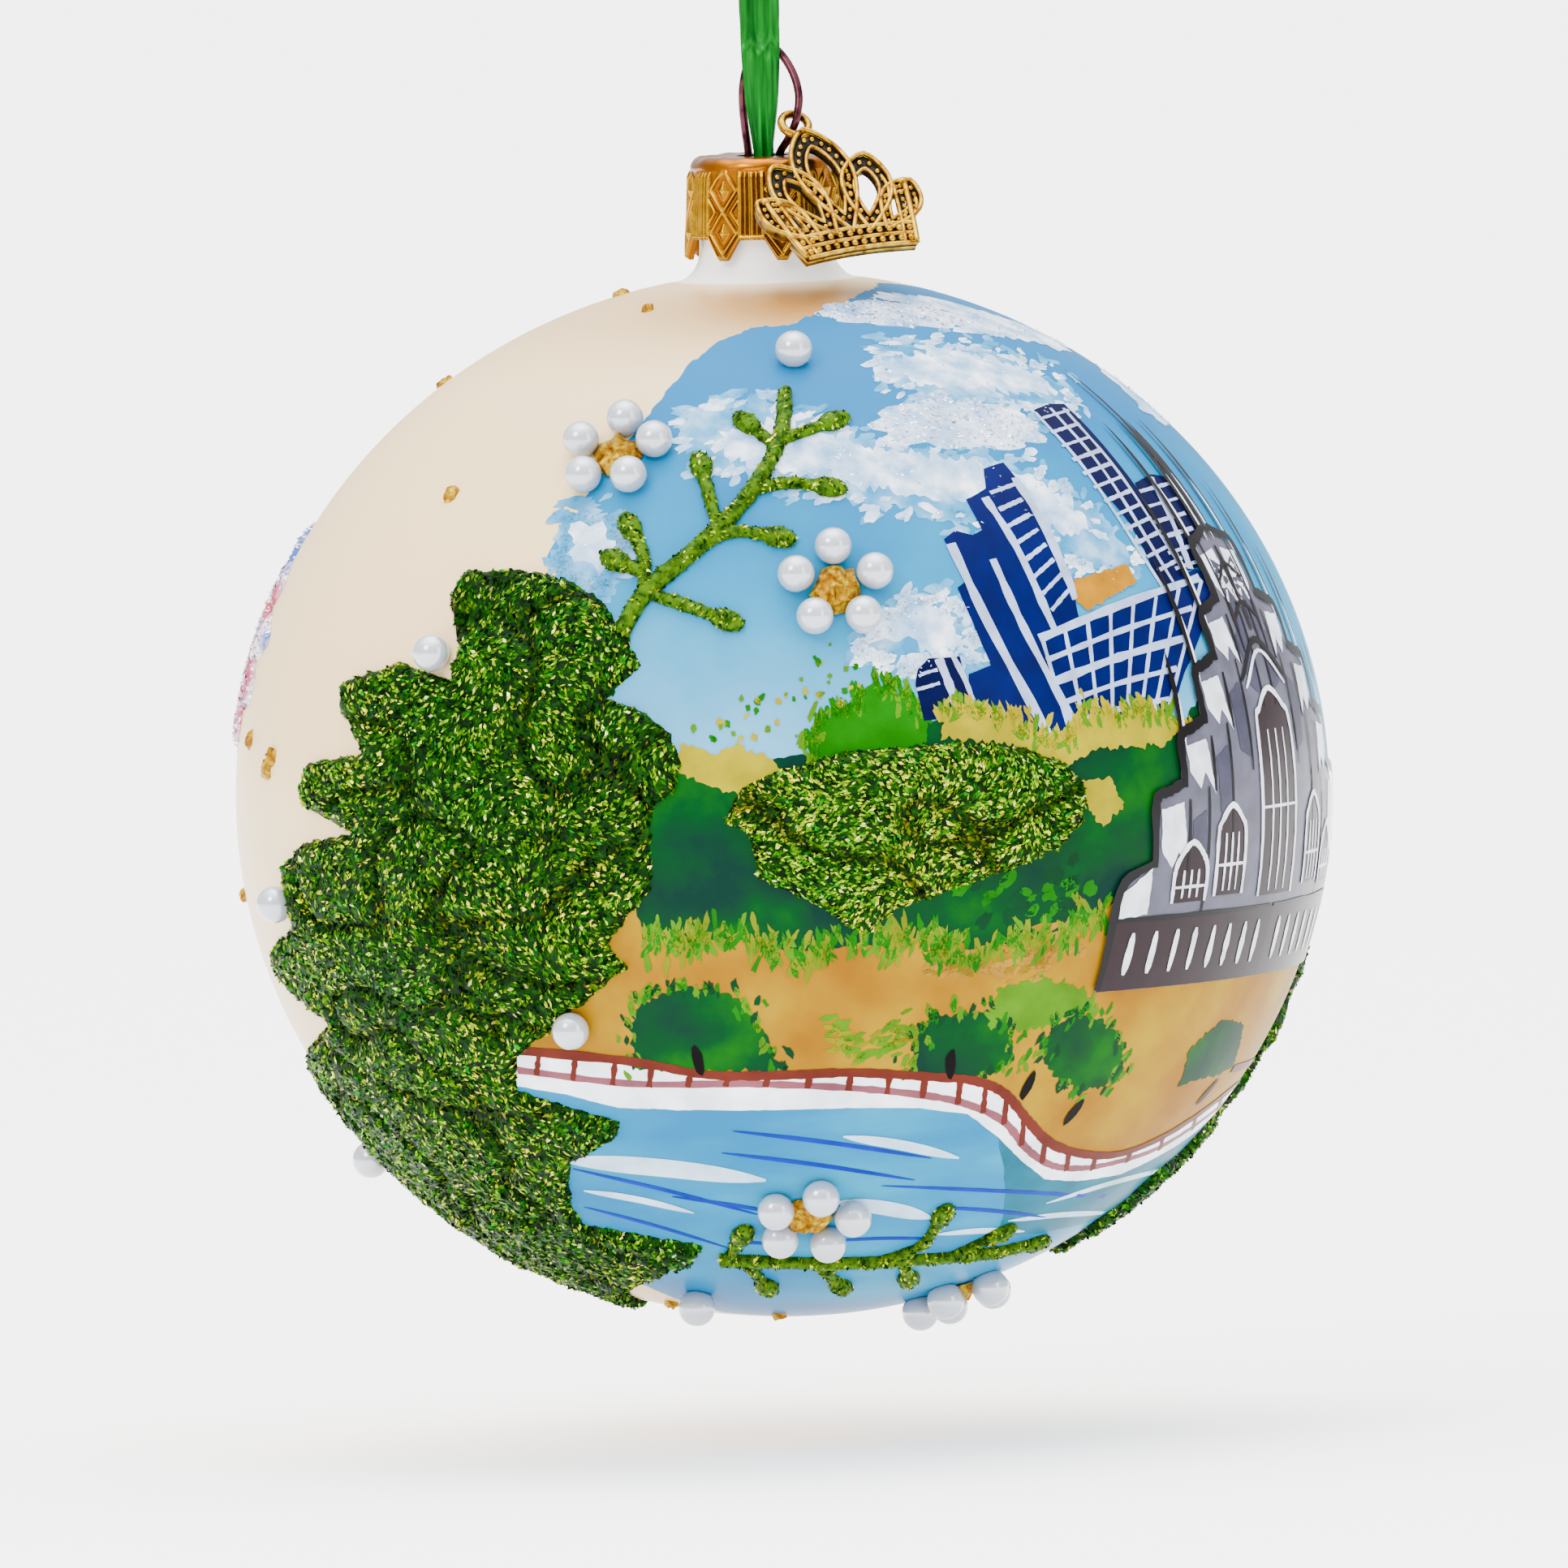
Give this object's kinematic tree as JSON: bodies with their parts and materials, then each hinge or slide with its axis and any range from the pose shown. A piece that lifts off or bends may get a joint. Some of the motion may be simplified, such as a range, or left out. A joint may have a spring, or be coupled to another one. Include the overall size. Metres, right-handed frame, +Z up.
{
  "type": "christmas ornament",
  "caption": "Painted glass ball ornament with a pull-off metal cap, spring-clip wire hanger, swinging crown charm and satin ribbon loop.",
  "frame": {"origin": "top of the ribbon loop, where a hook carries the ornament", "axes": "+Z up, the ornament hangs along -Z; the painted scene with the big tree faces -Y; +X is to its right"},
  "size_m": [0.1006, 0.1011, 0.1317],
  "materials": {
    "satin_ribbon": "satin",
    "gold_cap": "polished, stamped",
    "copper_wire": "dark oxidised copper",
    "painted_glass": "matte lacquer on blown glass",
    "antique_gold": "antique, black in the recesses",
    "green_glitter": "glitter paste",
    "lime_glitter": "glitter paste",
    "pastel_glitter": "glitter paste",
    "clear_glitter": "clear glitter",
    "enamel": "gloss enamel",
    "pearl": "pearlescent",
    "gold_glitter": "gold glitter paste"
  },
  "bodies": {
    "loop": {"ribbon_upper": "satin_ribbon"},
    "hanger": {"ribbon_lower": "satin_ribbon", "ribbon_knot": "satin_ribbon", "cap": "gold_cap", "wire_eye": "copper_wire"},
    "left_leg": {"left_spring_leg": "copper_wire"},
    "right_leg": {"right_spring_leg": "copper_wire"},
    "ball": {"glass_ball": "painted_glass", "big_tree": "green_glitter", "bush": "green_glitter", "upper_branch": "lime_glitter", "lower_vine": "lime_glitter", "back_tree": "green_glitter", "blossom_patch": "pastel_glitter", "sky_glitter": "clear_glitter", "hall_relief": "enamel", "upper_flower_pearls": "pearl", "upper_flower_centre": "gold_glitter", "middle_flower_pearls": "pearl", "middle_flower_centre": "gold_glitter", "lower_flower_pearls": "pearl", "lower_flower_centre": "gold_glitter", "bottom_flower_pearls": "pearl", "bottom_flower_centre": "gold_glitter", "back_flower_pearls": "pearl", "back_flower_centre": "gold_glitter", "single_pearls": "pearl", "gold_flecks": "gold_glitter"},
    "charm": {"crown_charm": "antique_gold"}
  },
  "joints": [
    {"name": "ornament_swing", "type": "hinge", "parent": "loop", "child": "hanger", "pos_m": [0, 0, -0.0116], "axis": [0, 1, 0], "range_deg": [-25, 25]},
    {"name": "cap_pull", "type": "slide", "parent": "hanger", "child": "ball", "axis": [0, 0, -1], "range_m": [0, 0.024]},
    {"name": "left_leg_squeeze", "type": "hinge", "parent": "hanger", "child": "left_leg", "pos_m": [-0.00136, 0.00075, -0.0241], "axis": [-0.4848, -0.8746, 0], "range_deg": [0, 8.5]},
    {"name": "right_leg_squeeze", "type": "hinge", "parent": "hanger", "child": "right_leg", "pos_m": [0.00136, -0.00075, -0.0241], "axis": [0.4848, 0.8746, 0], "range_deg": [0, 8.5]},
    {"name": "charm_swing", "type": "hinge", "parent": "hanger", "child": "charm", "pos_m": [0.00295, -0.00315, -0.02075], "axis": [-0.9397, -0.342, 0], "range_deg": [0, 60]}
  ],
  "couplings": [
    {"joint": "left_leg_squeeze", "follows": "cap_pull", "rad_per_m": 5.93},
    {"joint": "right_leg_squeeze", "follows": "cap_pull", "rad_per_m": 5.93}
  ]
}
